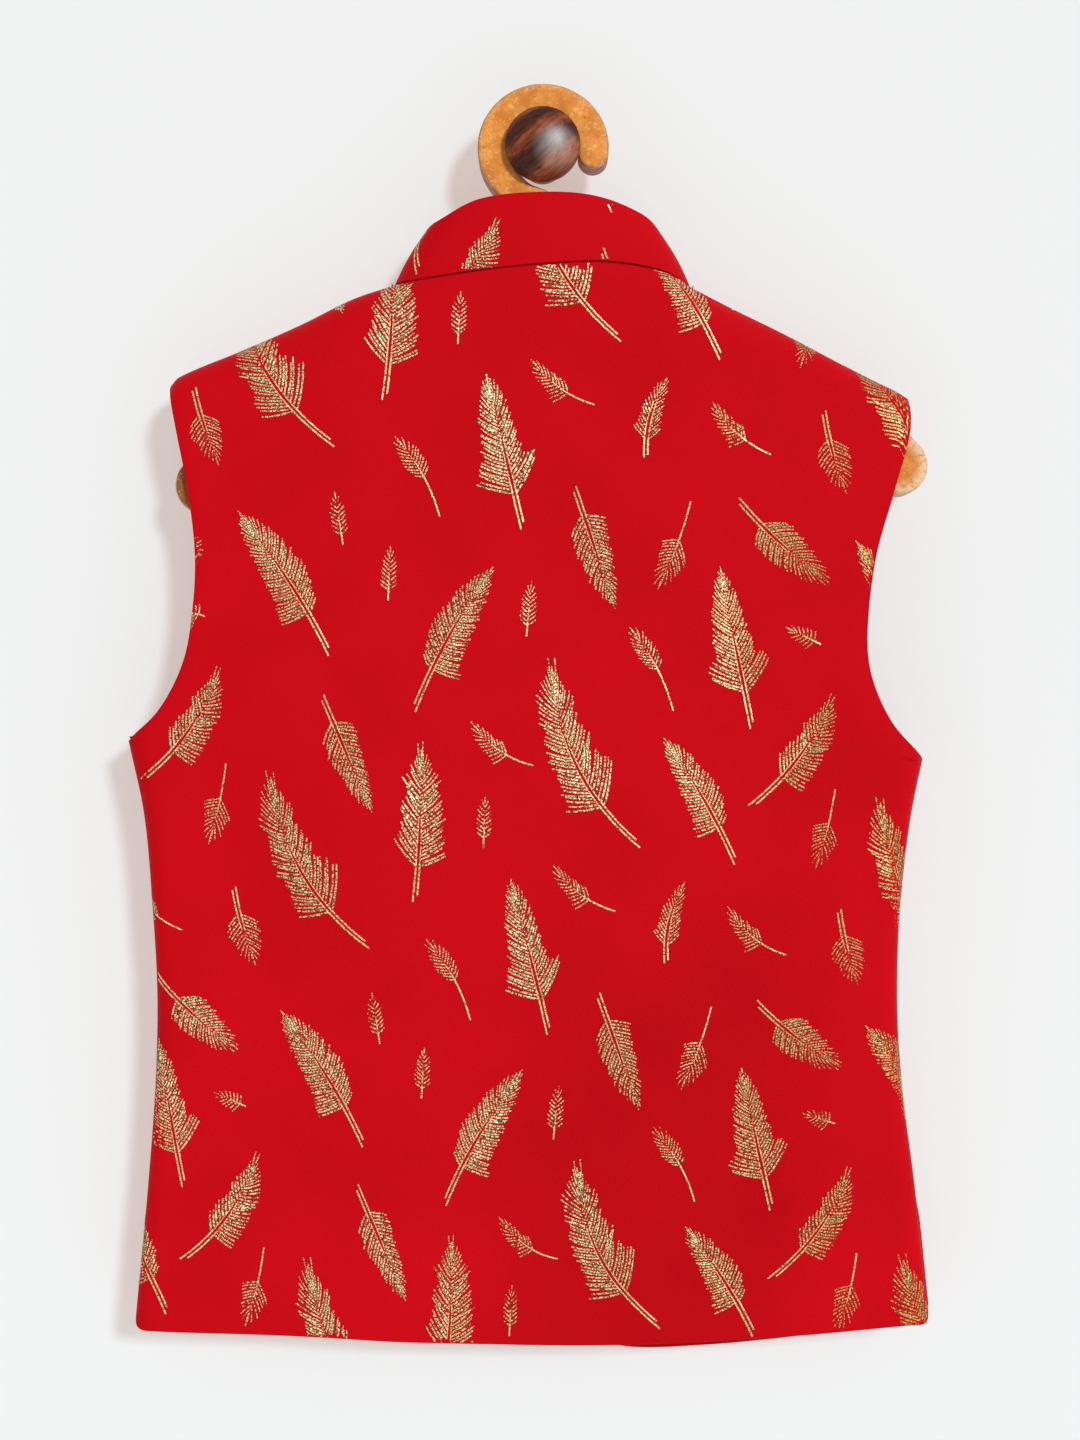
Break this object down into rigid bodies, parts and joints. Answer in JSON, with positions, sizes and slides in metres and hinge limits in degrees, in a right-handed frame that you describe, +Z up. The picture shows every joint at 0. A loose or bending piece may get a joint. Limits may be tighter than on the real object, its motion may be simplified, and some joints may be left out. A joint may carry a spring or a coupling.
{
  "type": "nehru jacket on wooden hanger and wall peg",
  "caption": "Child's sleeveless stand-collar jacket with lapped, buttoned fronts, hung flat on a wooden hanger from a round wall peg.",
  "frame": {"origin": "middle of the wall peg's rear face, on the wall", "axes": "+Z up, +Y into the wall, so the jacket's back looks along -Y and +X is to the right of someone looking at it"},
  "size_m": [0.357, 0.045, 0.5656],
  "materials": {
    "cloth": "matt red weave with a gold foil feather print",
    "button metal": "antique gold",
    "hanger wood": "orange stain worn through at the edges",
    "peg wood": "dark, polished"
  },
  "bodies": {
    "root": {"back": "cloth", "front_left": "cloth", "front_right": "cloth", "collar": "cloth", "button_1": "button metal", "button_2": "button metal", "button_3": "button metal", "button_4": "button metal", "button_5": "button metal", "hanger": "hanger wood", "wall_peg": "peg wood"}
  },
  "joints": []
}
